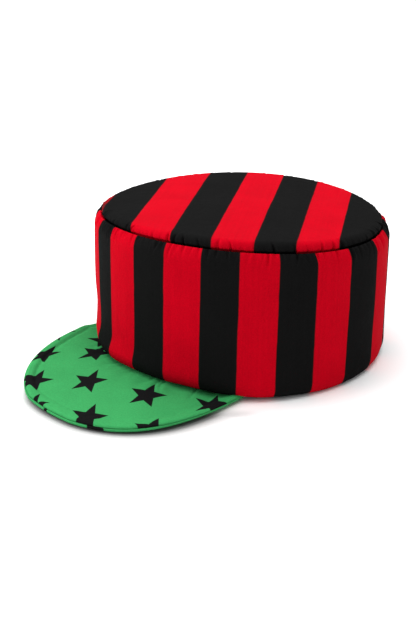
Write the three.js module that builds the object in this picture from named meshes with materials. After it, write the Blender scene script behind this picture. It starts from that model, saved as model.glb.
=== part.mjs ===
// Soft drum-shaped cap with a padded crown and a flat brim, lying on a surface.
// Millimetres, +Z up, brim towards -Y. The crown is modelled round its own centre line,
// and the group then moves it so that the origin is under the middle of the whole cap.

import * as THREE from 'three';

// Crown
const crownHalfWidth = 102.8;
const crownHalfDepth = 101.3;
const bandWall = 9;
const topThickness = 9;
const seamHeight = 97.5;
const seamInset = 5.8;
const seamClearance = 0.3;
const grooveDepth = 0.9;
const shoulderHeight = 15;
const hemRollHeight = 11;
const hemRollInset = 5.6;
const hemInnerRadius = 1.4;

// The seam is tilted and slightly saddle-shaped. Directions are degrees from +X.
const seamTilt = 5.1;
const seamTiltDirection = -97.1;
const seamSaddle = 2.4;
const seamSaddleDirection = -75.5;

// The top of the crown leans a little to one side
const lean = 0.4;
const leanDirection = 37.6;

// Puffed edge of the round top, taller towards one side, and the low dome inside it
const rollWidth = 5;
const rollHeight = 4.6;
const rollTilt = 1.8;
const rollTiltDirection = -52.4;
const topDome = 2.1;

// Small gathers on both sides of the top seam
const gatherCount = 72;
const gatherDepth = 0.5;
const gatherVariation = 0.25;

// Brim
const brimHalfWidth = 74.2;
const brimReach = 91.6;
const brimReturn = 60;
const brimWaist = 79.6;
const brimShift = -14;
const brimPower = 2.33;
const brimThickness = 4;
const leftLift = 9;
const leftLiftPower = 3;
const rootRise = 3.4;
const rootRiseReach = 40;
const panelClearance = 0.3;
const edgeRounding = 2.4;
const stitchInset = 9.5;
const stitchWidth = 3;
const stitchDepth = 0.5;

// Where the brim rises at its root, and where its right end is pressed thinner, in degrees round
// the crown from the brim's direction
const rootRiseMiddle = -9;
const rootRiseSpread = 35;
const pressStart = 12;
const pressSpan = 18;
const pressShare = 0.38;

// Hem of the crown where it lies on the brim. The sag is in degrees round the crown.
const hemClearance = 0.5;
const rootClearance = 0.4;
const rootMargin = 2;
const hemSagStart = 2;
const hemSagSpan = 32;

// Broad soft dents and swells of the side wall. Angle and spread are degrees round the crown from
// the brim's direction, level and rise are shares of seamHeight, depth is a share of bandWall.
const wallForms = [
  { angle: -22, spread: 34, level: 0.06, rise: 0.14, depth: 0.36 },
  { angle: -46, spread: 24, level: 0.28, rise: 0.18, depth: -0.08 },
  { angle: 12, spread: 34, level: 0.06, rise: 0.14, depth: 0.18 },
  { angle: 46, spread: 26, level: 0.07, rise: 0.13, depth: 0.12 },
  { angle: 36, spread: 20, level: 0.45, rise: 0.25, depth: -0.06 },
  { angle: 88, spread: 26, level: 0.55, rise: 0.3, depth: 0.06 },
  { angle: 140, spread: 30, level: 0.4, rise: 0.25, depth: -0.08 },
  { angle: -140, spread: 34, level: 0.5, rise: 0.28, depth: 0.06 },
  { angle: -95, spread: 24, level: 0.3, rise: 0.2, depth: -0.05 },
];

// Places where the whole upper crown is drawn in or pushed out. Angle and spread as above, depth is
// a share of bandWall at the seam, fading downward by the given power of the height.
const upperForms = [{ angle: -84, spread: 50, depth: -0.17 }];
const upperFade = 4;

// Rows of the side wall's outer face between the hem roll and the shoulder, as shares of seamHeight
const wallLevels = [0.17, 0.3, 0.55];

// Part of seamInset that the rounded shoulder takes, and where the gathers below the seam sit in
// the shoulder, as shares of shoulderHeight
const shoulderShare = 0.9;
const lowerGathers = { below: 0.35, spread: 0.65, rise: 0.5 };

// Where the gathers above the seam sit in the puffed edge, as shares of rollWidth
const upperGathers = { inside: 0.45, spread: 0.5, spill: 0.4 };

// Rings of the round top inside its puffed edge, as shares of its radius
const topRings = [0.75, 0.4, 0];

// Edge of the two brim panels, row by row: how far in as a share of edgeRounding, and how much
// thinner each panel is there as a share of its thickness
const brimEdge = [
  { inset: 0, topDrop: 0.75, underRise: 0.35 },
  { inset: 0.3, topDrop: 0.3, underRise: 0.08 },
  { inset: 1, topDrop: 0, underRise: 0 },
];
const underPanelShare = 0.46;
const brimMiddleShare = 0.4;
const rootShareLimit = 0.35;
const edgeShareLimit = 0.5;
const slantLimit = 2;

// Mesh steps
const aroundSteps = 2 * gatherCount;
const hemSteps = 3;
const shoulderSteps = 4;
const rollSteps = 3;
const brimStations = 42;
const halvingSteps = 40;

const degrees = Math.PI / 180;
const quarterTurn = Math.PI / 2;
const fullTurn = 360;
const brimDirection = -90;
const depthRatio = crownHalfDepth / crownHalfWidth;
const ledgeHeight = seamHeight - topThickness - seamClearance;
const topRim = crownHalfWidth - seamInset - seamClearance;

function clamp(value, low, high) {
  return Math.min(high, Math.max(low, value));
}

function smoothStep(value) {
  const t = clamp(value, 0, 1);
  return t * t * (3 - 2 * t);
}

// Height of a smooth hump, one at its middle and zero at its ends
function hump(distance, spread) {
  const t = Math.abs(distance) / spread;
  return t >= 1 ? 0 : Math.cos(t * quarterTurn) ** 2;
}

// Angle in degrees, brought between -180 and 180
function wrapped(angle) {
  if (angle > fullTurn / 2) return angle - fullTurn;
  if (angle < -fullTurn / 2) return angle + fullTurn;
  return angle;
}

// Angle round the crown from the brim's direction
function angleFromBrim(x, y) {
  return wrapped(Math.atan2(y, x) / degrees - brimDirection);
}

// The brim bends upward towards its left end, and rises a little towards the crown
function brimLift(x, y) {
  const share = clamp((brimShift - x) / brimHalfWidth, 0, 1.2);
  const ahead = Math.hypot(x, y / depthRatio) - crownHalfWidth;
  const near = 1 - smoothStep(ahead / rootRiseReach);
  const middle = hump(angleFromBrim(x, y) - rootRiseMiddle, rootRiseSpread);
  return leftLift * share ** leftLiftPower + rootRise * near * middle;
}

// Share of its full thickness that the brim keeps
function pressed(x, y) {
  return 1 - pressShare * smoothStep((angleFromBrim(x, y) - pressStart) / pressSpan);
}

// Distance from the crown's centre line to the brim's outline, along one direction
function brimOutlineRadius(angle) {
  const along = Math.cos(angle * degrees);
  const across = Math.sin(angle * degrees);
  let low = 0;
  let high = brimWaist + brimReach;
  for (let step = 0; step < halvingSteps; step += 1) {
    const middle = (low + high) / 2;
    const side = Math.abs(middle * across - brimShift) / brimHalfWidth;
    const ahead = middle * along - brimWaist;
    const front = Math.abs(ahead) / (ahead > 0 ? brimReach : brimReturn);
    const inside = ahead < -brimReturn || side ** brimPower + front ** brimPower < 1;
    if (inside) {
      low = middle;
    } else {
      high = middle;
    }
  }
  return low;
}

// Distance from the crown's centre line to a line inside its oval outline
function crownRadius(angle, inset) {
  const across = Math.sin(angle * degrees);
  const along = Math.cos(angle * degrees) / depthRatio;
  return (crownHalfWidth - inset) / Math.hypot(across, along);
}

// Angle where one end of the brim has run in under the middle of the hem
function brimEnd(side) {
  let low = 20;
  let high = 90;
  for (let step = 0; step < halvingSteps; step += 1) {
    const middle = (low + high) / 2;
    const outside = brimOutlineRadius(side * middle) > crownRadius(side * middle, bandWall / 2);
    if (outside) {
      low = middle;
    } else {
      high = middle;
    }
  }
  return side * low;
}

const brimLeftEnd = brimEnd(-1);
const brimRightEnd = brimEnd(1);

// Height of the hem above the surface: it lies on the brim, and sags to the surface past its ends
function hemLift(x, y) {
  const angle = angleFromBrim(x, y);
  const past = Math.max(angle - brimRightEnd, brimLeftEnd - angle) - hemSagStart;
  const cover = 1 - smoothStep(past / hemSagSpan);
  return (brimThickness * pressed(x, y) + hemClearance + brimLift(x, y)) * cover;
}

// Rise and fall of the seam, the same for the wall's top edge and for the round top
function seamLift(x, y) {
  const radius = Math.hypot(x, y) / crownHalfWidth;
  const direction = Math.atan2(y, x);
  const tilt = seamTilt * radius * Math.cos(direction - seamTiltDirection * degrees);
  const turn = 2 * (direction - seamSaddleDirection * degrees);
  return tilt + seamSaddle * radius * radius * Math.cos(turn);
}

function gatherWave(angle) {
  const strength = 1 - gatherVariation + gatherVariation * Math.sin(5 * angle * degrees + 1);
  return gatherDepth * strength * Math.cos(gatherCount * angle * degrees);
}

function wallForm(angle, z) {
  let depth = 0;
  for (const form of wallForms) {
    const round = hump(wrapped(angle - form.angle), form.spread);
    const up = hump(z / seamHeight - form.level, form.rise);
    depth += form.depth * bandWall * round * up;
  }
  return depth;
}

function upperForm(angle, radius, upper) {
  let depth = 0;
  for (const form of upperForms) {
    depth += form.depth * bandWall * hump(wrapped(angle - form.angle), form.spread);
  }
  return depth * (radius / crownHalfWidth) ** 2 * upper ** upperFade;
}

// Turns a lathe of the crown into its lying shape: oval, with the hem on the brim and the seam tilted
function shapeCrown(geometry, relief) {
  geometry.rotateX(quarterTurn);
  geometry.scale(1, depthRatio, 1);
  const position = geometry.getAttribute('position');
  for (let i = 0; i < position.count; i += 1) {
    const x = position.getX(i);
    const y = position.getY(i);
    const z = position.getZ(i);
    const radius = Math.hypot(x, y / depthRatio);
    const angle = angleFromBrim(x, y / depthRatio);
    const push = relief(angle, radius, z);
    const upper = clamp(z / ledgeHeight, 0, 1);
    const out = push.out + upperForm(angle, radius, upper);
    const grown = radius > 0 ? (radius + out) / radius : 1;
    const newX = x * grown + lean * upper * Math.cos(leanDirection * degrees);
    const newY = y * grown + lean * upper * Math.sin(leanDirection * degrees);
    const lift = seamLift(newX, newY) * upper + hemLift(newX, newY) * (1 - upper);
    position.setXYZ(i, newX, newY, z + push.up + lift);
  }
  geometry.computeVertexNormals();
  return geometry;
}

// Closed outline of the side wall's section: hem roll, wall, shoulder, seam, ledge, inside
function bandSection() {
  const points = [];
  const add = (inset, height) => points.push(new THREE.Vector2(crownHalfWidth - inset, height));
  for (let step = 0; step <= hemSteps; step += 1) {
    const turn = (step / hemSteps) * quarterTurn;
    add(hemRollInset * (1 - Math.sin(turn)), hemRollHeight * (1 - Math.cos(turn)));
  }
  for (const level of wallLevels) add(0, seamHeight * level);
  for (let step = 0; step <= shoulderSteps; step += 1) {
    const turn = (step / shoulderSteps) * quarterTurn;
    const inset = seamInset * shoulderShare * (1 - Math.cos(turn));
    add(inset, seamHeight - shoulderHeight * (1 - Math.sin(turn)));
  }
  add(seamInset, seamHeight - grooveDepth);
  add(seamInset, ledgeHeight);
  add(bandWall, ledgeHeight);
  add(bandWall, seamHeight / 2);
  add(bandWall, 2 * hemInnerRadius);
  add(bandWall - hemInnerRadius, 0);
  points.push(points[0].clone());
  return points;
}

function bandRelief(angle, radius, z) {
  const outer = radius > crownHalfWidth - (seamInset * (1 + shoulderShare)) / 2;
  const middle = seamHeight - shoulderHeight * lowerGathers.below;
  const weight = outer ? hump(z - middle, shoulderHeight * lowerGathers.spread) : 0;
  const wave = gatherWave(angle) * weight;
  return { out: wallForm(angle, z) + wave, up: wave * lowerGathers.rise };
}

// Outline of the round top's section, from the middle of its underside to the middle of its upper side
function topSection() {
  const points = [
    new THREE.Vector2(0, seamHeight - topThickness),
    new THREE.Vector2(crownHalfWidth - bandWall, seamHeight - topThickness),
    new THREE.Vector2(topRim, seamHeight - topThickness),
  ];
  for (let step = 0; step <= rollSteps; step += 1) {
    const turn = (step / rollSteps) * quarterTurn;
    const inset = rollWidth * (1 - Math.cos(turn));
    const height = seamHeight - grooveDepth + (rollHeight + grooveDepth) * Math.sin(turn);
    points.push(new THREE.Vector2(topRim - inset, height));
  }
  for (const share of topRings) {
    const dome = topDome * (1 - (share / (1 - rollWidth / topRim)) ** 2);
    points.push(new THREE.Vector2(topRim * share, seamHeight + rollHeight + dome));
  }
  return points;
}

function topRelief(angle, radius, z) {
  const upper = z > seamHeight - grooveDepth * shoulderShare;
  const middle = topRim - rollWidth * upperGathers.inside;
  const weight = upper ? hump(radius - middle, rollWidth * upperGathers.spread) : 0;
  const wave = gatherWave(angle) * weight;
  const side = Math.cos((angle + brimDirection - rollTiltDirection) * degrees);
  const tilt = rollTilt * (radius / topRim) * side * clamp((z - seamHeight) / rollHeight, 0, 1);
  return { out: wave * upperGathers.spill, up: wave + tilt };
}

// One row of the brim's grid, from its edge to its root under the hem
function brimStation(angle) {
  const outer = brimOutlineRadius(angle);
  const root = crownRadius(angle, bandWall - rootClearance);
  const ahead = brimOutlineRadius(angle + 0.5);
  const behind = brimOutlineRadius(angle - 0.5);
  const slope = (ahead - behind) / (outer * degrees);
  const slant = Math.min(slantLimit, Math.hypot(1, slope));
  const width = outer - root;
  const stitchLine = stitchInset * slant;
  const edgeShare = Math.min(1, (edgeShareLimit * width) / (stitchLine + stitchWidth));
  const crownLine = Math.min(rootShareLimit * width, bandWall - rootClearance + rootMargin);
  const edgeInsets = brimEdge.map((row) => row.inset * edgeRounding);
  const stitchInsets = [-stitchWidth / 2, 0, stitchWidth / 2].map((side) => stitchInset + side);
  const insets = edgeInsets.concat(stitchInsets).map((inset) => inset * slant * edgeShare);
  const start = insets[insets.length - 1];
  const end = width - crownLine;
  insets.push(start + (end - start) * brimMiddleShare, end, width);
  return insets.map((inset, row) => ({
    x: (outer - inset) * Math.sin(angle * degrees),
    y: -(outer - inset) * Math.cos(angle * degrees),
    row,
  }));
}

const stitchRow = brimEdge.length + 1;
const splitHeight = brimThickness * underPanelShare;

function topPanelHeights(spot) {
  const panel = brimThickness - splitHeight - panelClearance;
  const drop = (brimEdge[spot.row]?.topDrop ?? 0) * panel;
  const groove = spot.row === stitchRow ? stitchDepth : 0;
  return [splitHeight + panelClearance, brimThickness - drop - groove];
}

function underPanelHeights(spot) {
  const rise = (brimEdge[spot.row]?.underRise ?? 0) * splitHeight;
  return [rise, splitHeight];
}

// Closed solid between a lower and an upper sheet over the brim's grid
function brimPanel(heights) {
  const stations = [];
  for (let k = 0; k <= brimStations; k += 1) {
    const angle = brimLeftEnd + ((brimRightEnd - brimLeftEnd) * k) / brimStations;
    stations.push(brimStation(angle));
  }
  const rows = stations[0].length;
  const vertices = [];
  for (const level of [0, 1]) {
    for (const station of stations) {
      for (const spot of station) {
        const height = heights(spot)[level] * pressed(spot.x, spot.y);
        vertices.push(spot.x, spot.y, brimLift(spot.x, spot.y) + height);
      }
    }
  }
  const at = (level, station, row) => (level * stations.length + station) * rows + row;
  const triangles = [];
  const quad = (a, b, c, d) => triangles.push(a, b, c, a, c, d);
  for (let k = 0; k < brimStations; k += 1) {
    for (let r = 0; r < rows - 1; r += 1) {
      quad(at(1, k, r), at(1, k + 1, r), at(1, k + 1, r + 1), at(1, k, r + 1));
      quad(at(0, k, r), at(0, k, r + 1), at(0, k + 1, r + 1), at(0, k + 1, r));
    }
    quad(at(0, k, 0), at(0, k + 1, 0), at(1, k + 1, 0), at(1, k, 0));
    quad(at(0, k + 1, rows - 1), at(0, k, rows - 1), at(1, k, rows - 1), at(1, k + 1, rows - 1));
  }
  const last = brimStations;
  for (let r = 0; r < rows - 1; r += 1) {
    quad(at(0, 0, r), at(1, 0, r), at(1, 0, r + 1), at(0, 0, r + 1));
    quad(at(1, last, r), at(0, last, r), at(0, last, r + 1), at(1, last, r + 1));
  }
  const geometry = new THREE.BufferGeometry();
  geometry.setAttribute('position', new THREE.Float32BufferAttribute(vertices, 3));
  geometry.setIndex(triangles);
  geometry.computeVertexNormals();
  return geometry;
}

function cloth(color) {
  return new THREE.MeshStandardMaterial({ color, roughness: 0.85, metalness: 0 });
}

function named(name, geometry, material) {
  const mesh = new THREE.Mesh(geometry, material);
  mesh.name = name;
  return mesh;
}

const bandLathe = new THREE.LatheGeometry(bandSection(), aroundSteps);
const topLathe = new THREE.LatheGeometry(topSection(), aroundSteps);

const crown = new THREE.Group();
crown.add(
  named('crown_band', shapeCrown(bandLathe, bandRelief), cloth(0xc80f23)),
  named('crown_top', shapeCrown(topLathe, topRelief), cloth(0xd8152b)),
);

const brim = new THREE.Group();
brim.add(
  named('brim_top', brimPanel(topPanelHeights), cloth(0x45a862)),
  named('brim_under', brimPanel(underPanelHeights), cloth(0x3a9455)),
);

const cap = new THREE.Group();
cap.add(crown, brim);
cap.position.y = (brimWaist + brimReach - crownHalfDepth) / 2;

export default cap;
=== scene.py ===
import math

import bpy
import numpy as np
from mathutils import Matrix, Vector


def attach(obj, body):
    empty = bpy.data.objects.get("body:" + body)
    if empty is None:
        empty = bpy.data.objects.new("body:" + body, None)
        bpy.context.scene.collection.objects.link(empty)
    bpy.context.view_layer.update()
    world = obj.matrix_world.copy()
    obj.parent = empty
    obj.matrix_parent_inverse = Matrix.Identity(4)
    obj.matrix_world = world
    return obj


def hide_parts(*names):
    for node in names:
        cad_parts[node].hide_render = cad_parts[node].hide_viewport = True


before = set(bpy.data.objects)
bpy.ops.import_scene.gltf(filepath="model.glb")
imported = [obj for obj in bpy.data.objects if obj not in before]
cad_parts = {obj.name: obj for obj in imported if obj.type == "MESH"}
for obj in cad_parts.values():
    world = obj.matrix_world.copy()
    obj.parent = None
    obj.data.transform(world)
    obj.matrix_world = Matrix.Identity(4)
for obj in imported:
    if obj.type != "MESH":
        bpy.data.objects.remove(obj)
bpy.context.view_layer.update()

# Sizes are in millimetres and degrees where nothing else is said. Places are measured from the
# crown's centre, angles round the crown from the brim's direction, and directions from the X axis.
MM = 0.001
BRIM_DIRECTION = -90.0

# Crown of the CAD part
CROWN_HALF_WIDTH = 102.8
CROWN_HALF_DEPTH = 101.3
BAND_WALL = 9.0
TOP_THICKNESS = 9.0
SEAM_HEIGHT = 97.5
SEAM_INSET = 5.8
SEAM_CLEARANCE = 0.3
SHOULDER_HEIGHT = 15.0
SHOULDER_SHARE = 0.9
HEM_ROLL_HEIGHT = 11.0
HEM_ROLL_INSET = 5.6
HEM_INNER_RADIUS = 1.4
SEAM_TILT = 5.1
SEAM_TILT_DIRECTION = -97.1
SEAM_SADDLE = 2.4
SEAM_SADDLE_DIRECTION = -75.5
LEAN = 0.4
LEAN_DIRECTION = 37.6
ROLL_WIDTH = 5.0
ROLL_HEIGHT = 4.6
ROLL_TILT = 1.8
ROLL_TILT_DIRECTION = -52.4
TOP_DOME = 2.1

# Brim of the CAD part, and how the crown's hem lies on it
BRIM_HALF_WIDTH = 74.2
BRIM_REACH = 91.6
BRIM_RETURN = 60.0
BRIM_WAIST = 79.6
BRIM_SHIFT = -14.0
BRIM_POWER = 2.33
BRIM_THICKNESS = 4.0
LEFT_LIFT = 9.0
LEFT_LIFT_POWER = 3
LEFT_LIFT_MOST = 1.2
ROOT_RISE = 3.4
ROOT_RISE_REACH = 40.0
ROOT_RISE_MIDDLE = -9.0
ROOT_RISE_SPREAD = 35.0
PRESS_START = 12.0
PRESS_SPAN = 18.0
PRESS_SHARE = 0.38
PANEL_CLEARANCE = 0.3
UNDER_PANEL_SHARE = 0.46
EDGE_ROUNDING = 2.4
STITCH_INSET = 9.5
HEM_CLEARANCE = 0.5
ROOT_CLEARANCE = 0.4
HEM_SAG_START = 2.0
HEM_SAG_SPAN = 32.0

# What follows from those sizes
DEPTH_RATIO = CROWN_HALF_DEPTH / CROWN_HALF_WIDTH
LEDGE_HEIGHT = SEAM_HEIGHT - TOP_THICKNESS - SEAM_CLEARANCE
TOP_UNDERSIDE = SEAM_HEIGHT - TOP_THICKNESS
TOP_RIM = CROWN_HALF_WIDTH - SEAM_INSET - SEAM_CLEARANCE
CENTRE_Y = (BRIM_WAIST + BRIM_REACH - CROWN_HALF_DEPTH) / 2

# Broad soft forms of the wall: level and rise are shares of the seam's height, and depth is a share
# of the wall. The one at 12 degrees is flatter here than in the CAD part.
WALL_FORMS = [
    {"angle": -22, "spread": 34, "level": 0.06, "rise": 0.14, "depth": 0.36},
    {"angle": -46, "spread": 24, "level": 0.28, "rise": 0.18, "depth": -0.08},
    {"angle": 12, "spread": 34, "level": 0.06, "rise": 0.14, "depth": 0.06},
    {"angle": 46, "spread": 26, "level": 0.07, "rise": 0.13, "depth": 0.12},
    {"angle": 36, "spread": 20, "level": 0.45, "rise": 0.25, "depth": -0.06},
    {"angle": 88, "spread": 26, "level": 0.55, "rise": 0.3, "depth": 0.06},
    {"angle": 140, "spread": 30, "level": 0.4, "rise": 0.25, "depth": -0.08},
    {"angle": -140, "spread": 34, "level": 0.5, "rise": 0.28, "depth": 0.06},
    {"angle": -95, "spread": 24, "level": 0.3, "rise": 0.2, "depth": -0.05},
]
UPPER_FORMS = [{"angle": -84, "spread": 50, "depth": -0.17}]
UPPER_FADE = 4

# Where the hem bridges the brim's right end and then drops beside it, in the dressed cloth only
HEM_FORMS = [
    {"angle": 20, "spread": 19, "rise": 1.8},
    {"angle": 46, "spread": 16, "rise": -1.0},
]

# Outline of the side wall: the turn of its shoulder, the lip beside the seam as insets and drops below
# the seam's height, the height and steps of its inside, and the turned ply of its hem
SHOULDER_TURN = 64.0
BAND_LIP = [
    {"inset": 3.9, "drop": 0.3, "steps": 4},
    {"inset": 5.2, "drop": 0.7, "steps": 3},
    {"inset": SEAM_INSET, "drop": 3.6, "steps": 5},
]
INNER_HEM_HEIGHT = 16.0
INNER_STEPS = [2, 7, 4, 3]
HEM_PLY = {"height": 17.0, "fade": 2.0, "depth": 0.35}

# Outline of the top: rings of its underside, corners of its edge as insets from the rim and drops
# below the seam's height, the foot and the start of the puffed edge, how much that edge drops at two
# sides, and the rings of the flat middle as shares of the rim
UNDERSIDE_RINGS = [0.4, 20, 40, 60, 76, 88, CROWN_HALF_WIDTH - BAND_WALL, TOP_RIM - 3.0]
TOP_EDGE = [
    {"inset": 2.6, "drop": TOP_THICKNESS},
    {"inset": 2.2, "drop": 3.0},
    {"inset": 0.9, "drop": 0.2},
]
TOP_EDGE_STEPS = [3, 5]
ROLL_OVERHANG = 0.6
ROLL_FOOT = 1.1
ROLL_START_TURN = -0.25
ROLL_DROP = 0.9
FLAT_RINGS = [{"to": 0.75, "count": 12}, {"to": 0.004, "count": 16}]

# Edges of the side stripes. The cloth is red before the first, and the stripes behind the crown share
# out what is left of the round. They slant by this angle from seam to hem.
SIDE_EDGES = [-34.4, -21.3, -6.8, 7.2, 21.4, 35.3, 49.4, 64.1, 79.4, 97.2]
SIDE_STRIPES = 24
SIDE_SLANT = 0.9

# Edges of the top's stripes, across them from the crown's centre. They fan out a little, by this
# share for each millimetre along them.
TOP_EDGES = [-92.0, -63.2, -34.0, -6.5, 20.5, 46.7, 72.4, 98.6]
TOP_STRIPE_DIRECTION = 118.73
TOP_FAN = 0.00022

# Stars on the brim: place, size to the tips, turn of one tip, and how much longer the star is
# towards one direction
STARS = [
    {"x": -77.2, "y": -120.1, "size": 16.5, "turn": 121, "stretch": 0.38, "toward": 182},
    {"x": -59.2, "y": -148.6, "size": 10.8, "turn": 117, "stretch": 1.55, "toward": 97},
    {"x": -40.0, "y": -172.7, "size": 11.6, "turn": 110, "stretch": 1.29, "toward": 85},
    {"x": -56.4, "y": -91.6, "size": 10.4, "turn": 109, "stretch": 1.5, "toward": 89},
    {"x": -31.9, "y": -125.1, "size": 12.4, "turn": 108.8, "stretch": 1.32, "toward": 113.5},
    {"x": 0.9, "y": -162.2, "size": 12.8, "turn": 114, "stretch": 1.47, "toward": 121},
    {"x": 12.2, "y": -118.1, "size": 13.2, "turn": 109, "stretch": 1.19, "toward": 118},
    {"x": 44.1, "y": -151.9, "size": 12.8, "turn": 114, "stretch": 1.35, "toward": 113},
    {"x": 51.7, "y": -100.8, "size": 12.9, "turn": 110, "stretch": 1.34, "toward": 126},
    {"x": -95.0, "y": -90.5, "size": 13.5, "turn": 110, "stretch": 1.2, "toward": 113},
    {"x": -65.9, "y": -73.2, "size": 11.5, "turn": 2, "stretch": 1.0, "toward": 0},
]
STAR_WAIST = 0.42

# Print of the under cloth, which doesn't meet the upper one: its star, the place of one of them, and
# the steps along a row and between rows
UNDER_STAR = {"size": 13.0, "turn": 152, "stretch": 1.0, "toward": 0}
UNDER_START = (13.0, -169.5)
UNDER_STEP = (44.0, 8.0)
UNDER_ROW = (28.7, -32.8)
UNDER_ROWS = range(-4, 2)
UNDER_STEPS = range(-4, 5)

# Gathers on both sides of the top seam: how many, their depth, how far they reach from the seam, how
# much that reach varies, and the least that it is
LOWER_GATHERS = {"count": 122, "depth": 1.35, "reach": 3.6, "vary": 0.35, "seed": 4, "reach_seed": 21}
UPPER_GATHERS = {"count": 104, "depth": 0.9, "reach": 3.4, "vary": 0.4, "seed": 9, "reach_seed": 22}
LEAST_REACH = 1.8

# Form of one gather: how far it wanders from even spacing, how round its crest is, and its strength
GATHER_WANDER = 1.5
GATHER_ROUNDNESS = 0.6
GATHER_LEVEL = 0.75
GATHER_STRENGTH = {"mean": 0.62, "vary": 0.42, "least": 0.08, "most": 1.3}

# Single folds running out from the seam: how many, their mean depth, length and half width, and the
# most that they slant
LOWER_FOLDS = {"count": 84, "depth": 1.7, "length": 5.5, "width": 0.75, "slant": 0.4, "seed": 14}
UPPER_FOLDS = {"count": 70, "depth": 1.6, "length": 5.0, "width": 0.8, "slant": 0.4, "seed": 19}

# Puckers of the brim's cloth where the crown lies on it
ROOT_FOLDS = {"count": 110, "depth": 0.36, "length": 8.0, "width": 1.3, "slant": 0.8, "seed": 23}

# Form of one fold: how far it strays as a share of the spacing, its depth, length and width as shares
# of the mean, and the low ridge beside it as shares of the fold
FOLD_PLACE = 0.42
FOLD_DEPTHS = [0.25, 0.6, 1.0, 1.5]
FOLD_LENGTHS = (0.5, 1.3)
FOLD_WIDTHS = (0.8, 1.3)
FOLD_RIDGE = {"height": 0.4, "apart": 2.2, "width": 1.6}

# Low soft waves of the wall and its hem, the even ridge under the seam, and the waves of the top and
# of the brim's root and sewn line
WALL_WAVES = [
    {"low": 6, "high": 22, "seed": 31, "depth": 0.22, "level": 0.55, "rise": 0.45},
    {"low": 14, "high": 44, "seed": 33, "depth": 0.18, "level": 0.06, "rise": 0.14},
]
SHOULDER_RIDGE = {"depth": 0.5, "below": 5.5, "spread": 6.0}
TOP_WAVES = [
    {"depth": 0.3, "x_length": 19, "x_start": 1.3, "y_length": 23, "y_start": 0.4},
    {"depth": 0.12, "x_length": 7.3, "x_start": 0, "y_length": 8.9, "y_start": 2},
]
TOP_WAVES_FADE = 20.0
ROOT_WAVES = {"low": 24, "high": 70, "seed": 41, "depth": 0.35, "apart": 4.0, "spread": 14.0}
LINE_WAVES = {"low": 60, "high": 150, "seed": 43, "depth": 0.12, "spread": 5.0}

# How far the edges of the two brim cloths stand out past the CAD part's outline
LIP_REACH = 0.3
UPPER_REACH = -0.5

# The brim's edge curls off the surface by these rises, each growing over a span from its start
EDGE_CURLS = [
    {"start": -42, "span": 20, "rise": 1.1},
    {"start": 7, "span": 17, "rise": 1.4},
]
EDGE_CURL_WIDTH = 14.0

# The brim's right corner is drawn in by this much, round this angle
CORNER_TRIM = 2.4
CORNER_TRIM_ANGLE = 28.0
CORNER_TRIM_SPREAD = 14.0

# Sewn line inside the brim's edge. Towards the left it moves out and gets deeper, and at the far left
# it moves out more and gets shallow again. The padding puffs up on both sides of it.
LEFTWARD = {"start": -4.0, "span": 22.0}
FAR_LEFT = {"start": -36.0, "span": 18.0}
LINE_SHIFT = {"leftward": 2.8, "far_left": 1.9}
LINE_DEPTH = {"front": 0.12, "leftward": 0.6, "far_left": -0.45}
LINE_HALF_WIDTH = 1.1
EDGE_PUFF = {"front": 0.1, "leftward": 0.35, "middle": 0.55}
INNER_PUFF = {"depth": 0.3, "rise": 8.0, "root_start": 9.0, "root_rise": 10.0}

# Fine stitches close to the brim's edge
EDGE_STITCH = {"inset": 3.0, "depth": 0.28, "half_width": 0.45, "length": 3.4, "mean": 0.6, "vary": 0.4}

# How much of each panel's thickness its rounded edge takes away
UPPER_EDGE_SHARE = 0.92
UNDER_EDGE_SHARES = {"top": 0.06, "bottom": 0.22}

# Fineness of the meshes
ROUND_COLUMNS = 1200
BRIM_STATIONS = 460
BRIM_BANDS = {"edge": 0.07, "middle": 0.3}
HALVINGS = 40

# Camera solved from the photograph
CAMERA_AZIMUTH = 37.6
CAMERA_ELEVATION = 22.67
CAMERA_DISTANCE = 887.8
CAMERA_FOCAL_PIXELS = 1239.1
CAMERA_AIM_RIGHT = -22.9
CAMERA_AIM_HEIGHT = 21.2
PHOTO_HEIGHT = 625
SENSOR = 36.0

# Lights, in metres and watts, and the brightness of the surroundings
LIGHTS = [
    {"name": "overhead", "place": (-0.3, 0.3, 1.7), "target": (0, 0.3, 0), "size": 2.6, "power": 49.5},
    {"name": "front_left", "place": (-1.1, -1.0, 0.75), "target": (0, CENTRE_Y * MM, 0.05), "size": 1.6,
     "power": 16.0},
]
SURROUNDINGS = 0.5

# Painted contact shadow on the floor beside the brim, a line of shade painted into the floor's colour: its
# reach, its strength, and where it fades in, as distances from the crown's centre and as places across and
# along the frame, and the floor's half size
PAINTED_SHADOW_REACH = 22.0
PAINTED_SHADOW_OPEN = 0.985
PAINTED_SHADOW_STRENGTH = 1.55
PAINTED_SHADOW_MOST = 0.78
PAINTED_SHADOW_APART = (108.0, 124.0)
PAINTED_SHADOW_LEFT = (-80.0, -30.0)
PAINTED_SHADOW_RIGHT = (85.0, 66.0)
PAINTED_SHADOW_BACK = (-35.0, -55.0)
FLOOR_HALF_SIZE = 6000.0

# Cloth: spacing of its threads, and how soft and wandering the edges of the print are
THREAD = 0.9
STRIPE_WANDER = 0.03
STRIPE_SOFTNESS = 0.05
STAR_SOFTNESS = 0.012


def smooth(t):
    """Soft step from 0 to 1."""
    t = np.clip(t, 0.0, 1.0)
    return t * t * (3 - 2 * t)


def hump(distance, spread):
    """Round hump of height 1 that ends at the spread."""
    t = np.minimum(np.abs(distance) / spread, 1.0)
    return np.cos(t * np.pi / 2) ** 2


def bell(distance, half_width):
    """Narrow bell of height 1."""
    return np.exp(-(distance / half_width) ** 2)


def wrapped(angle):
    """The same angle between -180 and 180."""
    return (angle + 180.0) % 360.0 - 180.0


def angle_from_brim(x, y):
    return wrapped(np.degrees(np.arctan2(y, x)) - BRIM_DIRECTION)


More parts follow.
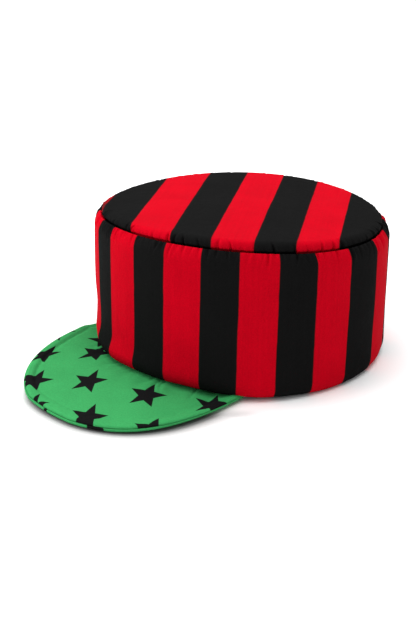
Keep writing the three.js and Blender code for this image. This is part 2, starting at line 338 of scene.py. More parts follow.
def brim_lift(x, y):
    """Height of the brim's underside: its left end lifts, and the crown's root raises its middle."""
    share = np.clip((BRIM_SHIFT - x) / BRIM_HALF_WIDTH, 0.0, LEFT_LIFT_MOST)
    ahead = np.hypot(x, y / DEPTH_RATIO) - CROWN_HALF_WIDTH
    near = 1 - smooth(ahead / ROOT_RISE_REACH)
    middle = hump(angle_from_brim(x, y) - ROOT_RISE_MIDDLE, ROOT_RISE_SPREAD)
    return LEFT_LIFT * share**LEFT_LIFT_POWER + ROOT_RISE * near * middle


def pressed(x, y):
    """Share of its thickness that the brim keeps where the crown presses it."""
    return 1 - PRESS_SHARE * smooth((angle_from_brim(x, y) - PRESS_START) / PRESS_SPAN)


def brim_outline_radius(angle):
    """Distance from the crown's centre to the brim's outline, found by halving."""
    angle = np.asarray(angle, float)
    along = np.cos(np.radians(angle))
    across = np.sin(np.radians(angle))
    low = np.zeros_like(angle)
    high = np.full_like(angle, BRIM_WAIST + BRIM_REACH)
    for _ in range(HALVINGS):
        middle = (low + high) / 2
        side = np.abs(middle * across - BRIM_SHIFT) / BRIM_HALF_WIDTH
        ahead = middle * along - BRIM_WAIST
        front = np.abs(ahead) / np.where(ahead > 0, BRIM_REACH, BRIM_RETURN)
        inside = (ahead < -BRIM_RETURN) | (side**BRIM_POWER + front**BRIM_POWER < 1)
        low = np.where(inside, middle, low)
        high = np.where(inside, high, middle)
    return low


def crown_radius(angle, inset):
    across = np.sin(np.radians(angle))
    along = np.cos(np.radians(angle)) / DEPTH_RATIO
    return (CROWN_HALF_WIDTH - inset) / np.hypot(across, along)


def brim_end(side):
    """Angle at which the brim's outline passes under the middle of the crown's wall."""
    low, high = 20.0, 90.0
    for _ in range(HALVINGS):
        middle = (low + high) / 2
        if brim_outline_radius(side * middle) > crown_radius(side * middle, BAND_WALL / 2):
            low = middle
        else:
            high = middle
    return side * low


BRIM_LEFT_END = brim_end(-1)
BRIM_RIGHT_END = brim_end(1)


def hem_lift(x, y):
    """Height of the crown's hem, which lies on the brim and sags to the floor past its ends."""
    angle = angle_from_brim(x, y)
    past = np.maximum(angle - BRIM_RIGHT_END, BRIM_LEFT_END - angle) - HEM_SAG_START
    cover = 1 - smooth(past / HEM_SAG_SPAN)
    lift = (BRIM_THICKNESS * pressed(x, y) + HEM_CLEARANCE + brim_lift(x, y)) * cover
    for form in HEM_FORMS:
        lift = lift + form["rise"] * hump(angle - form["angle"], form["spread"])
    return lift


def seam_lift(x, y):
    """Tilt and saddle of the top seam."""
    radius = np.hypot(x, y) / CROWN_HALF_WIDTH
    direction = np.arctan2(y, x)
    tilt = SEAM_TILT * radius * np.cos(direction - math.radians(SEAM_TILT_DIRECTION))
    turn = 2 * (direction - math.radians(SEAM_SADDLE_DIRECTION))
    return tilt + SEAM_SADDLE * radius**2 * np.cos(turn)


def wall_form(angle, z):
    """Depth of the wall's broad soft forms."""
    depth = 0.0
    for form in WALL_FORMS:
        turn = hump(wrapped(angle - form["angle"]), form["spread"])
        level = hump(z / SEAM_HEIGHT - form["level"], form["rise"])
        depth = depth + form["depth"] * BAND_WALL * turn * level
    return depth


def upper_form(angle, radius, upper):
    """Depth of the broad forms that the wall and the top share."""
    depth = 0.0
    for form in UPPER_FORMS:
        turn = hump(wrapped(angle - form["angle"]), form["spread"])
        depth = depth + form["depth"] * BAND_WALL * turn
    return depth * (radius / CROWN_HALF_WIDTH) ** 2 * upper**UPPER_FADE


def shape_crown(angle, radius, z, out, up):
    """Lying shape of a point given round the crown, as the CAD part has it."""
    upper = np.clip(z / LEDGE_HEIGHT, 0.0, 1.0)
    grown = radius + out + upper_form(angle, radius, upper)
    lean = LEAN * upper
    lean_x = lean * math.cos(math.radians(LEAN_DIRECTION))
    lean_y = lean * math.sin(math.radians(LEAN_DIRECTION))
    x = grown * np.sin(np.radians(angle)) + lean_x
    y = -grown * np.cos(np.radians(angle)) * DEPTH_RATIO + lean_y
    height = z + up + seam_lift(x, y) * upper + hem_lift(x, y) * (1 - upper)
    return np.stack([x, y, height], -1)


def ripple(angle, low, high, seed):
    """Smooth random value round the crown, from whole waves so that it closes."""
    random = np.random.default_rng(seed)
    total = np.zeros_like(angle)
    waves = np.arange(low, high + 1)
    for wave, phase in zip(waves, random.uniform(0, 2 * np.pi, len(waves))):
        total += np.sin(wave * np.radians(angle) + phase)
    return total / math.sqrt(len(waves))


def waves_round(angle, waves):
    """The ripple of one row of soft waves, times its depth."""
    return waves["depth"] * ripple(angle, waves["low"], waves["high"], waves["seed"])


def creases(angle, gathers):
    """Sharp valleys and round crests of gathered cloth, with uneven spacing and depth."""
    seed = gathers["seed"]
    phase = gathers["count"] * np.radians(angle) + GATHER_WANDER * ripple(angle, 5, 24, seed)
    crest = np.abs(np.sin(phase / 2)) ** GATHER_ROUNDNESS
    strength = GATHER_STRENGTH["mean"] + GATHER_STRENGTH["vary"] * ripple(angle, 9, 40, seed + 1)
    strength = np.clip(strength, GATHER_STRENGTH["least"], GATHER_STRENGTH["most"])
    return gathers["depth"] * strength * (crest - GATHER_LEVEL)


def gathered(angle, from_seam, gathers, part):
    """The creases of one side of the seam, fading out at an uneven reach, on part of the cloth."""
    reach = gathers["reach"] * (1 + gathers["vary"] * ripple(angle, 12, 60, gathers["reach_seed"]))
    weight = np.where(part, bell(from_seam, np.maximum(reach[None, :], LEAST_REACH)), 0)
    return creases(angle, gathers)[None, :] * weight


def folds(angle, along, kind):
    """Narrow valleys of unlike depth, length and slant that run out from the seam."""
    random = np.random.default_rng(kind["seed"])
    count = kind["count"]
    places = (np.arange(count) + random.uniform(-FOLD_PLACE, FOLD_PLACE, count)) * 360 / count
    total = np.zeros(np.broadcast(angle, along).shape)
    for place in places:
        depth = kind["depth"] * random.choice(FOLD_DEPTHS)
        length = kind["length"] * random.uniform(*FOLD_LENGTHS)
        width = kind["width"] * random.uniform(*FOLD_WIDTHS)
        slant = kind["slant"] * random.uniform(-1, 1)
        side = wrapped(angle - place) * math.radians(CROWN_HALF_WIDTH) - slant * along
        ridge = bell(side - FOLD_RIDGE["apart"] * width, FOLD_RIDGE["width"] * width)
        shape = FOLD_RIDGE["height"] * ridge - bell(side, width)
        total += depth * shape * bell(along, length)
    return total


def lerp_rows(points, steps):
    """Points along an open outline given by its corners, with that many steps between them."""
    made = [points[0]]
    for start, end, count in zip(points[:-1], points[1:], steps):
        for k in range(1, count + 1):
            t = k / count
            made.append((start[0] + (end[0] - start[0]) * t, start[1] + (end[1] - start[1]) * t))
    return made


def rounded(points, passes):
    """The same outline with its corners rounded by averaging, its ends kept."""
    p = np.array(points, float)
    for _ in range(passes):
        p[1:-1] = (p[:-2] + 2 * p[1:-1] + p[2:]) / 4
    return p.tolist()


def make_mesh(name, points, quads, corner_uv):
    """Smooth mesh object from points in millimetres, with one UV layer for each named row."""
    mesh = bpy.data.meshes.new(name)
    points = np.asarray(points, float).reshape(-1, 3)
    placed = (points + np.array([0.0, CENTRE_Y, 0.0])) * MM
    quads = np.asarray(quads, np.int32)
    mesh.vertices.add(len(placed))
    mesh.vertices.foreach_set("co", placed.astype(np.float32).ravel())
    mesh.loops.add(quads.size)
    mesh.loops.foreach_set("vertex_index", quads.ravel())
    mesh.polygons.add(len(quads))
    mesh.polygons.foreach_set("loop_start", np.arange(0, quads.size, 4, dtype=np.int32))
    mesh.polygons.foreach_set("use_smooth", np.ones(len(quads), bool))
    mesh.update(calc_edges=True)
    mesh.validate()
    for label, values in corner_uv.items():
        layer = mesh.uv_layers.new(name=label)
        layer.data.foreach_set("uv", np.asarray(values, np.float32).ravel())
    obj = bpy.data.objects.new(name, mesh)
    bpy.context.scene.collection.objects.link(obj)
    return obj


def ring_quads(rows, columns, closed_rows):
    """Faces of a grid that closes round the crown, with its rows closed too if asked."""
    row = np.arange(rows if closed_rows else rows - 1)
    column = np.arange(columns)
    row, column = np.meshgrid(row, column, indexing="ij")
    here = row * columns
    above = (row + 1) % rows * columns
    beside = (column + 1) % columns
    return np.stack([here + column, here + beside, above + beside, above + column], -1).reshape(-1, 4)


def side_stripe(angle):
    """Stripe number round the side wall, whole at each edge between stripes."""
    edges = list(SIDE_EDGES)
    left = SIDE_STRIPES - (len(edges) - 1)
    step = (edges[0] + 360 - edges[-1]) / left
    for k in range(1, left + 1):
        edges.append(SIDE_EDGES[-1] + step * k)
    start = edges[0]
    turned = (angle - start) % 360.0 + start
    return np.interp(turned, edges, np.arange(len(edges)) + 1.0)


def band_outline():
    """Insets and heights down the outside and up the inside of the side wall, and the outside's count."""
    hem = []
    for t in np.linspace(0, math.pi / 2, 12):
        hem.append((HEM_ROLL_INSET * (1 - math.sin(t)), HEM_ROLL_HEIGHT * (1 - math.cos(t))))
    wall = [(0.0, h) for h in np.linspace(HEM_ROLL_HEIGHT, SEAM_HEIGHT - SHOULDER_HEIGHT, 18)[1:]]
    shoulder = []
    for t in np.linspace(0, math.radians(SHOULDER_TURN), 16)[1:]:
        inset = SEAM_INSET * SHOULDER_SHARE * (1 - math.cos(t))
        shoulder.append((inset, SEAM_HEIGHT - SHOULDER_HEIGHT * (1 - math.sin(t))))
    corners = [shoulder[-1]] + [(row["inset"], SEAM_HEIGHT - row["drop"]) for row in BAND_LIP]
    lip = rounded(lerp_rows(corners, [row["steps"] for row in BAND_LIP]), 2)[1:]
    inner = lerp_rows([(SEAM_INSET, LEDGE_HEIGHT), (BAND_WALL, LEDGE_HEIGHT), (BAND_WALL, INNER_HEM_HEIGHT),
                       (BAND_WALL, 2 * HEM_INNER_RADIUS), (BAND_WALL - HEM_INNER_RADIUS, 0.0)],
                      INNER_STEPS)
    outer = hem + wall + shoulder + lip
    return np.array(outer + inner), len(outer)


def build_band():
    """Padded side wall of the crown."""
    angle = np.arange(ROUND_COLUMNS) * 360.0 / ROUND_COLUMNS + SIDE_EDGES[0]
    rows, outer_count = band_outline()
    a = angle[None, :] + np.zeros((len(rows), 1))
    radius = CROWN_HALF_WIDTH - rows[:, 0:1] + 0 * a
    z = rows[:, 1:2] + 0 * a
    is_outer = (np.arange(len(rows)) < outer_count)[:, None]
    below = np.maximum(SEAM_HEIGHT - 1.0 - z, 0)
    wave = gathered(angle, below, LOWER_GATHERS, is_outer)
    wave = wave + np.where(is_outer, folds(a, below, LOWER_FOLDS), 0)
    ridge = SHOULDER_RIDGE["depth"] * hump(below - SHOULDER_RIDGE["below"], SHOULDER_RIDGE["spread"])
    wave = wave + np.where(is_outer, ridge, 0)
    soft = 0.0
    for waves in WALL_WAVES:
        level = hump(z / SEAM_HEIGHT - waves["level"], waves["rise"])
        soft = soft + waves_round(angle, waves)[None, :] * level
    out = wall_form(a, z) + wave + np.where(is_outer, soft, 0)
    ply = smooth((HEM_PLY["height"] - z) / HEM_PLY["fade"])
    out = out - np.where(is_outer, 0, HEM_PLY["depth"] * ply)
    points = shape_crown(a, radius, z, out, wave * 0.35)
    around = a * math.pi / 180 * CROWN_HALF_WIDTH
    stripe = side_stripe(a + SIDE_SLANT * (1 - z / SEAM_HEIGHT))
    quads = ring_quads(len(rows), ROUND_COLUMNS, True)
    return finish_ring("crown_band_padded", points, stripe, z, around, quads)


def finish_ring(name, points, stripe, height, around, quads):
    """The ring's mesh, with the stripe numbers carried on where the round closes."""
    stripe = stripe.reshape(-1)[quads]
    height = height.reshape(-1)[quads]
    around = around.reshape(-1)[quads]
    column = quads % ROUND_COLUMNS
    closing = column.max(1) - column.min(1) > 1
    stripe = stripe + SIDE_STRIPES * np.round((stripe[:, :1] - stripe) / SIDE_STRIPES)
    full_round = 2 * math.pi * CROWN_HALF_WIDTH
    around = np.where(closing[:, None] & (column == 0), around + full_round, around)
    corner = {"stripe": np.stack([stripe, height * MM], -1),
              "weave": np.stack([around * MM, height * MM], -1)}
    return make_mesh(name, points, quads, corner)


def top_outline():
    """Radii and heights of the top from under its middle, round its edge, to its middle."""
    low = [(ring, TOP_UNDERSIDE) for ring in UNDERSIDE_RINGS]
    corners = [(TOP_RIM - row["inset"], SEAM_HEIGHT - row["drop"]) for row in TOP_EDGE]
    edge = rounded(lerp_rows(corners, TOP_EDGE_STEPS), 1)
    roll = []
    for t in np.linspace(ROLL_START_TURN, math.pi / 2, 18)[1:]:
        roll.append((TOP_RIM + ROLL_OVERHANG - (ROLL_WIDTH + ROLL_OVERHANG) * (1 - math.cos(t)),
                     SEAM_HEIGHT + ROLL_FOOT + (ROLL_HEIGHT - ROLL_FOOT) * math.sin(t)))
    flat = []
    within = 1 - ROLL_WIDTH / TOP_RIM
    start = within
    for part in FLAT_RINGS:
        for share in np.linspace(start, part["to"], part["count"])[1:]:
            dome = TOP_DOME * (1 - (share / within) ** 2)
            flat.append((TOP_RIM * share, SEAM_HEIGHT + ROLL_HEIGHT + dome))
        start = part["to"]
    return np.array(low + edge + roll + flat), len(low)


def top_softness(x, y):
    """Low waves of the top's cloth."""
    soft = 0.0
    for wave in TOP_WAVES:
        across = np.sin(x / wave["x_length"] + wave["x_start"])
        along = np.sin(y / wave["y_length"] + wave["y_start"])
        soft = soft + wave["depth"] * across * along
    return soft


def build_top():
    """Padded round top of the crown with its puffed edge."""
    angle = np.arange(ROUND_COLUMNS) * 360.0 / ROUND_COLUMNS
    rows, low_count = top_outline()
    a = angle[None, :] + np.zeros((len(rows), 1))
    radius = rows[:, 0:1] + 0 * a
    z = rows[:, 1:2] + 0 * a
    upper = (np.arange(len(rows)) >= low_count)[:, None]
    inside = TOP_RIM - radius
    from_seam = np.maximum(z - SEAM_HEIGHT, 0) + np.maximum(inside, 0)
    edge_part = upper & (z > SEAM_HEIGHT - 4)
    wave = gathered(angle, from_seam, UPPER_GATHERS, edge_part)
    wave = wave + np.where(edge_part, folds(a, from_seam, UPPER_FOLDS), 0)
    outward = smooth(1 - inside / ROLL_WIDTH)
    soft = top_softness(radius * np.sin(np.radians(a)), radius * np.cos(np.radians(a)))
    soft = np.where(upper, soft * smooth(inside / TOP_WAVES_FADE), 0)
    turn = np.radians(a + BRIM_DIRECTION - ROLL_TILT_DIRECTION)
    near = radius / TOP_RIM * np.cos(turn)
    end = radius / TOP_RIM * np.sin(turn)
    risen = np.clip((z - SEAM_HEIGHT) / ROLL_HEIGHT, 0, 1)
    tilt = (ROLL_TILT * near - ROLL_DROP * end**2) * risen
    points = shape_crown(a, radius, z, wave * outward, wave * (1 - 0.7 * outward) + soft + tilt)
    direction = math.radians(TOP_STRIPE_DIRECTION)
    across = points[..., 0] * math.sin(direction) - points[..., 1] * math.cos(direction)
    along = points[..., 0] * math.cos(direction) + points[..., 1] * math.sin(direction)
    spread = across * (1 - TOP_FAN * along)
    number = np.interp(spread, TOP_EDGES, np.arange(len(TOP_EDGES)) + 1.0)
    quads = ring_quads(len(rows), ROUND_COLUMNS, False)
    along = along.reshape(-1)[quads] * MM
    corner = {"stripe": np.stack([number.reshape(-1)[quads], along], -1),
              "weave": np.stack([across.reshape(-1)[quads] * MM, along], -1)}
    return make_mesh("crown_top_padded", points, quads, corner)


def under_stars():
    """Stars of the under cloth, in even rows."""
    made = []
    for row in UNDER_ROWS:
        for step in UNDER_STEPS:
            x = UNDER_START[0] + step * UNDER_STEP[0] + row * UNDER_ROW[0]
            y = UNDER_START[1] + step * UNDER_STEP[1] + row * UNDER_ROW[1]
            made.append({"x": x, "y": y, **UNDER_STAR})
    return made


def star_corners(plan, quads, stars):
    """Each face's corners measured from its nearest star, turned and scaled to a star of size one."""
    column = {key: np.array([s[key] for s in stars]) for key in stars[0]}
    centres = np.stack([column["x"], column["y"]], -1)
    middle = plan[quads].mean(1)
    nearest = ((middle[:, None] - centres[None]) ** 2).sum(-1).argmin(1)
    offset = plan[quads] - centres[nearest][:, None]
    toward = np.radians(column["toward"][nearest])
    axis = np.stack([np.cos(toward), np.sin(toward)], -1)[:, None]
    along = (offset * axis).sum(-1, keepdims=True)
    offset = offset - along * axis * (1 - 1 / column["stretch"][nearest])[:, None, None]
    size = column["size"][nearest][:, None]
    turn = np.radians(column["turn"][nearest])[:, None]
    u = (offset[..., 0] * np.cos(turn) + offset[..., 1] * np.sin(turn)) / size
    v = (-offset[..., 0] * np.sin(turn) + offset[..., 1] * np.cos(turn)) / size
    return np.stack([u, v], -1)


def brim_shares():
    """Shares of the way from the brim's edge to its root, closest together at the edge."""
    edge = BRIM_BANDS["edge"]
    middle = BRIM_BANDS["middle"]
    return np.concatenate([np.linspace(0, 1, 16) ** 1.6 * edge, np.linspace(edge, middle, 26)[1:],
                           np.linspace(middle, 1, 51)[1:]])


def brim_grid(shares, grow):
    """Angles, plan places, and distances from the edge and from the root, of one brim panel."""
    angle = np.linspace(BRIM_LEFT_END, BRIM_RIGHT_END, BRIM_STATIONS)
    trim = CORNER_TRIM * hump(angle - CORNER_TRIM_ANGLE, CORNER_TRIM_SPREAD)
    outer = brim_outline_radius(angle) + grow - trim
    root = crown_radius(angle, BAND_WALL - ROOT_CLEARANCE)
    change = brim_outline_radius(angle + 0.5) - brim_outline_radius(angle - 0.5)
    slant = np.minimum(2.0, np.hypot(1, change / (outer * math.radians(1))))
    width = outer - root
    inset = width[:, None] * shares[None, :]
    radius = outer[:, None] - inset
    x = radius * np.sin(np.radians(angle))[:, None]
    y = -radius * np.cos(np.radians(angle))[:, None]
    return angle, x, y, inset / slant[:, None], width[:, None] - inset


def fade_left(angle, zone):
    """0 before the zone and 1 past it, going left."""
    return smooth((zone["start"] - angle) / zone["span"])[:, None]


def brim_relief(angle, x, y, inset, from_root):
    """Height that sewing, padding and puckers add to the brim's upper cloth."""
    leftward = fade_left(angle, LEFTWARD)
    far_left = fade_left(angle, FAR_LEFT)
    line = STITCH_INSET - LINE_SHIFT["leftward"] * leftward - LINE_SHIFT["far_left"] * far_left
    depth = LINE_DEPTH["front"] + LINE_DEPTH["leftward"] * leftward + LINE_DEPTH["far_left"] * far_left
    groove = depth * bell(inset - line, LINE_HALF_WIDTH)
    arc = np.cumsum(np.hypot(np.gradient(x[:, 0]), np.gradient(y[:, 0])))[:, None]
    beat = np.cos(2 * math.pi * arc / EDGE_STITCH["length"])
    stitch = EDGE_STITCH["mean"] + EDGE_STITCH["vary"] * beat
    stitch_line = bell(inset - EDGE_STITCH["inset"], EDGE_STITCH["half_width"])
    groove = groove + EDGE_STITCH["depth"] * stitch_line * stitch
    puff = EDGE_PUFF["front"] + EDGE_PUFF["leftward"] * leftward
    puff = puff * hump(inset - EDGE_PUFF["middle"] * line, line / 2)
    past_line = smooth((inset - line) / INNER_PUFF["rise"])
    past_root = smooth((from_root - INNER_PUFF["root_start"]) / INNER_PUFF["root_rise"])
    puff = puff + INNER_PUFF["depth"] * past_line * past_root
    outside = np.maximum(from_root - BAND_WALL, 0)
    pucker = folds(angle[:, None], outside, ROOT_FOLDS)
    root_part = hump(outside - ROOT_WAVES["apart"], ROOT_WAVES["spread"])
    pucker = pucker + waves_round(angle, ROOT_WAVES)[:, None] * root_part
    line_part = hump(inset - line, LINE_WAVES["spread"])
    pucker = pucker + waves_round(angle, LINE_WAVES)[:, None] * line_part
    return puff + pucker - groove


def sheet_quads(rows, columns):
    """Faces of a closed slab: its upper sheet, its lower one, and its four sides."""
    index = np.arange(rows * columns).reshape(rows, columns)
    under = index + rows * columns
    a, b = index[:-1, :-1], index[1:, :-1]
    c, d = index[1:, 1:], index[:-1, 1:]
    quads = [np.stack([a, b, c, d], -1).reshape(-1, 4),
             np.stack([a, d, c, b], -1).reshape(-1, 4) + rows * columns]
    sides = [(index[:, 0], under[:, 0], 1), (index[:, -1], under[:, -1], -1),
             (index[0], under[0], -1), (index[-1], under[-1], 1)]
    for line, low_line, order in sides:
        face = np.stack([line[:-1], low_line[:-1], low_line[1:], line[1:]], -1)
        quads.append(face[:, ::order])
    return np.concatenate(quads)


def build_brim(name, upper_panel):
    """One cloth panel of the brim, upper or under."""
    reach = UPPER_REACH if upper_panel else LIP_REACH
    angle, x, y, inset, from_root = brim_grid(brim_shares(), reach)
    split = BRIM_THICKNESS * UNDER_PANEL_SHARE
    edge = np.clip(1 - inset / EDGE_ROUNDING, 0, 1)
    drop = 1 - np.sqrt(1 - edge**2)
    curl = 0.0
    for part in EDGE_CURLS:
        curl = curl + part["rise"] * smooth((angle - part["start"]) / part["span"])
    lift = brim_lift(x, y) + curl[:, None] * smooth(1 - inset / EDGE_CURL_WIDTH)
    thin = pressed(x, y)
    if upper_panel:
        panel = BRIM_THICKNESS - split - PANEL_CLEARANCE
        relief = brim_relief(angle, x, y, inset, from_root)
        top = BRIM_THICKNESS - drop * panel * UPPER_EDGE_SHARE + relief
        bottom = split + PANEL_CLEARANCE + 0 * x
    else:
        top = split - UNDER_EDGE_SHARES["top"] * split * drop
        bottom = UNDER_EDGE_SHARES["bottom"] * split * drop
    upper_sheet = np.stack([x, y, lift + top * thin], -1)
    lower_sheet = np.stack([x, y, lift + bottom * thin], -1)
    points = np.concatenate([upper_sheet.reshape(-1, 3), lower_sheet.reshape(-1, 3)])
    quads = sheet_quads(*x.shape)
    plan = points[:, :2]
    stars = STARS if upper_panel else under_stars()
    corner = {"star": star_corners(plan, quads, stars), "weave": plan[quads] * MM}
    return make_mesh(name, points, quads, corner)


def linear(red, green, blue):
    """Scene colour of an sRGB colour given from 0 to 255."""
    made = []
    for value in (red, green, blue):
        c = value / 255
        made.append(c / 12.92 if c <= 0.04045 else ((c + 0.055) / 1.055) ** 2.4)
    return (*made, 1.0)


RED = linear(184, 1, 23)
BLACK = linear(17, 17, 17)
GREEN = linear(57, 151, 86)
STAR_BLACK = linear(20, 20, 21)


class Nodes:
    """Short ways to add and join the nodes of one material."""

    def __init__(self, name):
        self.material = bpy.data.materials.new(name)
        self.material.use_nodes = True
        self.tree = self.material.node_tree
        self.shader = self.tree.nodes["Principled BSDF"]

    def add(self, kind, inputs=None, **settings):
        made = self.tree.nodes.new(kind)
        for key, value in settings.items():
            setattr(made, key, value)
        for key, value in (inputs or {}).items():
            if isinstance(value, bpy.types.NodeSocket):
                self.tree.links.new(value, made.inputs[key])
            else:
                made.inputs[key].default_value = value
        return made

    def feed(self, source, name):
        self.tree.links.new(source, self.shader.inputs[name])

    def math(self, operation, a, b=0.0, c=0.0):
        return self.add("ShaderNodeMath", {0: a, 1: b, 2: c}, operation=operation).outputs[0]

    def times(self, a, b):
        return self.math("MULTIPLY", a, b)

    def ramp(self, value, low, high, to_low=0.0, to_high=1.0):
        made = self.add("ShaderNodeMapRange", {0: value, 1: low, 2: high, 3: to_low, 4: to_high},
                        interpolation_type="SMOOTHSTEP")
        return made.outputs[0]

    def noise(self, vector, scale, detail=3.0, roughness=0.5):
        made = self.add("ShaderNodeTexNoise", {"Vector": vector, "Scale": scale, "Detail": detail,
                                               "Roughness": roughness})
        return made.outputs[0]

    def mix(self, factor, a, b, blend="MIX"):
        made = self.add("ShaderNodeMix", {0: factor, 6: a, 7: b}, data_type="RGBA", blend_type=blend)
        return made.outputs[2]

    def grey(self, value):
        return self.add("ShaderNodeCombineColor", {0: value, 1: value, 2: value}).outputs[0]

    def place(self):
        return self.add("ShaderNodeTexCoord").outputs["Object"]

    def uv(self, name):
        return self.add("ShaderNodeUVMap", uv_map=name).outputs[0]

    def parts(self, vector):
        return self.add("ShaderNodeSeparateXYZ", {0: vector}).outputs


def finish_cloth(nodes, colour):
    """Weave, soft wear and shading shared by the cloths."""
    place = nodes.place()
    broad = nodes.noise(place, 38.0, detail=3.0)
    fine = nodes.noise(place, 900.0, detail=2.0, roughness=0.7)
    shade = nodes.ramp(broad, 0.25, 0.75, to_low=0.94, to_high=1.04)
    grain = nodes.ramp(fine, 0.2, 0.8, to_low=0.9, to_high=1.08)
    worn = nodes.grey(nodes.times(shade, grain))
    nodes.feed(nodes.mix(1.0, colour, worn, "MULTIPLY"), "Base Color")
    weave = nodes.parts(nodes.uv("weave"))
    turns = 2 * math.pi / (THREAD * MM)
    warp = nodes.math("SINE", nodes.times(weave[0], turns))
    weft = nodes.math("SINE", nodes.times(weave[1], turns))
    fuzz = nodes.noise(place, 2400.0, detail=2.0, roughness=0.6)
    height = nodes.math("MULTIPLY_ADD", nodes.times(warp, weft), 0.5, fuzz)
    crumple = nodes.noise(place, 170.0, detail=3.0, roughness=0.55)
    small = nodes.add("ShaderNodeBump", {"Strength": 0.35, "Distance": 0.00012, "Height": height})
    large = nodes.add("ShaderNodeBump", {"Strength": 0.5, "Distance": 0.0007, "Height": crumple,
                                         "Normal": small.outputs[0]})
    nodes.feed(large.outputs[0], "Normal")
    nodes.feed(nodes.ramp(fine, 0.0, 1.0, to_low=0.82, to_high=0.98), "Roughness")
    nodes.shader.inputs["Specular IOR Level"].default_value = 0.025
    return nodes.material


def striped_cloth(name, red, black):
    """Cloth that is red at odd stripe numbers and black at even ones, with faint drawn threads."""
    nodes = Nodes(name)
    stripe = nodes.parts(nodes.uv("stripe"))[0]
    wander = nodes.noise(nodes.place(), 60.0, detail=2.0)
    number = nodes.math("MULTIPLY_ADD", wander, STRIPE_WANDER, stripe)
    number = nodes.math("SUBTRACT", number, STRIPE_WANDER / 2)
    wave = nodes.math("SINE", nodes.times(number, math.pi))
    mask = nodes.ramp(wave, -STRIPE_SOFTNESS, STRIPE_SOFTNESS)
    drawn = nodes.add("ShaderNodeVectorMath", {0: nodes.uv("weave"), 1: (620.0, 6.0, 1.0)},
                      operation="MULTIPLY").outputs[0]
    faint = nodes.ramp(nodes.noise(drawn, 1.0, detail=2.0), 0.3, 0.7, to_low=0.96, to_high=1.02)
    cloth = nodes.mix(mask, black, red)
    return finish_cloth(nodes, nodes.mix(1.0, cloth, nodes.grey(faint), "MULTIPLY"))


def star_cloth(name, green, black):
    """Cloth with five-pointed stars, each drawn from one folded point of it."""
    nodes = Nodes(name)
    star = nodes.parts(nodes.uv("star"))
    u, v = star[0], star[1]
    square = nodes.math("ADD", nodes.times(u, u), nodes.times(v, v))
    distance = nodes.math("SQRT", square)
    angle = nodes.math("ARCTAN2", v, u)
    fifth = 2 * math.pi / 5
    folded = nodes.math("PINGPONG", nodes.math("ADD", angle, 2 * fifth), fifth / 2)
    along = nodes.times(distance, nodes.math("COSINE", folded))
    aside = nodes.times(distance, nodes.math("SINE", folded))
    edge_along = STAR_WAIST * math.cos(fifth / 2) - 1
    edge_aside = STAR_WAIST * math.sin(fifth / 2)
    length = math.hypot(edge_along, edge_aside)
    first = nodes.times(nodes.math("SUBTRACT", along, 1.0), edge_aside / length)
    second = nodes.times(aside, -edge_along / length)
    mask = nodes.ramp(nodes.math("ADD", first, second), -STAR_SOFTNESS, STAR_SOFTNESS)
    return finish_cloth(nodes, nodes.mix(mask, black, green))


def floor_material():
    """Pale floor with a painted shadow: a soft line of shade painted into its colour beside the brim's
    front edge.
    """
    nodes = Nodes("pale_floor_painted_shadow")
    contact = nodes.add("ShaderNodeAmbientOcclusion", {"Distance": PAINTED_SHADOW_REACH * MM}, samples=16)
    place = nodes.place()
    centre = (0.0, CENTRE_Y * MM, 0.0)
    apart = nodes.add("ShaderNodeVectorMath", {0: place, 1: centre}, operation="DISTANCE")
    across, along = nodes.parts(place)[0:2]
    zones = [(apart.outputs["Value"], PAINTED_SHADOW_APART), (across, PAINTED_SHADOW_LEFT), (across, PAINTED_SHADOW_RIGHT),
             (along, PAINTED_SHADOW_BACK)]
    # Painted shadow: where ambient occlusion finds the brim close by, the floor's base colour is darkened,
    # faded in only beside the brim's front edge.
    painted_shadow_amount = nodes.math("SUBTRACT", PAINTED_SHADOW_OPEN, contact.outputs[1])
    painted_shadow_amount = nodes.math("SQRT", nodes.math("MAXIMUM", painted_shadow_amount, 0.0))
    painted_shadow_amount = nodes.math("MINIMUM", nodes.times(painted_shadow_amount, PAINTED_SHADOW_STRENGTH), PAINTED_SHADOW_MOST)
    for value, (low, high) in zones:
        painted_shadow_amount = nodes.times(painted_shadow_amount, nodes.ramp(value, low * MM, high * MM))
    nodes.feed(nodes.grey(nodes.math("SUBTRACT", 1.0, painted_shadow_amount)), "Base Color")
    nodes.shader.inputs["Roughness"].default_value = 0.9
    nodes.shader.inputs["Specular IOR Level"].default_value = 0.1
    return nodes.material


def set_floor():
    size = FLOOR_HALF_SIZE * MM
    mesh = bpy.data.meshes.new("floor")
    corners = [(-size, -size, 0), (size, -size, 0), (size, size, 0), (-size, size, 0)]
    mesh.from_pydata(corners, [], [(0, 1, 2, 3)])
    mesh.materials.append(floor_material())
    floor = bpy.data.objects.new("floor", mesh)
    bpy.context.scene.collection.objects.link(floor)


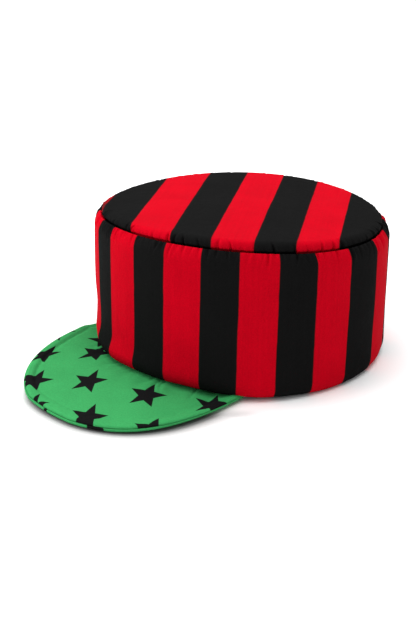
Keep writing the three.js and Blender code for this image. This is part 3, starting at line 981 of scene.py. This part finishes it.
def area_light(name, place, target, size, power):
    """Round soft light at a place, turned to its target."""
    data = bpy.data.lights.new(name, "AREA")
    data.shape = "DISK"
    data.size = size
    data.energy = power
    light = bpy.data.objects.new(name, data)
    light.location = place
    light.rotation_mode = "QUATERNION"
    light.rotation_quaternion = (Vector(target) - Vector(place)).to_track_quat("-Z", "Y")
    bpy.context.scene.collection.objects.link(light)


def set_light():
    world = bpy.data.worlds.new("studio")
    world.use_nodes = True
    background = world.node_tree.nodes["Background"]
    background.inputs["Color"].default_value = (1, 1, 1, 1)
    background.inputs["Strength"].default_value = SURROUNDINGS
    bpy.context.scene.world = world
    for light in LIGHTS:
        area_light(**light)
    bpy.context.scene.view_settings.view_transform = "Standard"
    bpy.context.scene.view_settings.look = "None"


def set_camera():
    azimuth = math.radians(CAMERA_AZIMUTH)
    elevation = math.radians(CAMERA_ELEVATION)
    back = Vector((math.sin(azimuth) * math.cos(elevation), -math.cos(azimuth) * math.cos(elevation),
                   math.sin(elevation)))
    aim = Vector((CAMERA_AIM_RIGHT * math.cos(azimuth), CAMERA_AIM_RIGHT * math.sin(azimuth) + CENTRE_Y,
                  CAMERA_AIM_HEIGHT))
    data = bpy.data.cameras.new("camera")
    data.sensor_width = SENSOR
    data.lens = CAMERA_FOCAL_PIXELS * SENSOR / PHOTO_HEIGHT
    data.clip_start = 0.05
    data.clip_end = 50
    camera = bpy.data.objects.new("camera", data)
    camera.location = (aim + back * CAMERA_DISTANCE) * MM
    camera.rotation_mode = "QUATERNION"
    camera.rotation_quaternion = (-back).to_track_quat("-Z", "Y")
    bpy.context.scene.collection.objects.link(camera)
    bpy.context.scene.camera = camera


band = build_band()
top = build_top()
brim_top = build_brim("brim_top_cloth", True)
brim_under = build_brim("brim_under_cloth", False)

stripes = striped_cloth("striped_cloth", RED, BLACK)
stars = star_cloth("star_cloth", GREEN, STAR_BLACK)

for piece, node, slot, fill in ((band, "crown_band", "striped_cloth", 0.7),
                                (top, "crown_top", "striped_cloth", 0.7),
                                (brim_top, "brim_top", "star_cloth", 0.4),
                                (brim_under, "brim_under", "star_cloth", 0.4)):
    piece.data.materials.append(stripes if slot == "striped_cloth" else stars)
    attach(piece, "root")
    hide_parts(node)

set_floor()
set_light()
set_camera()
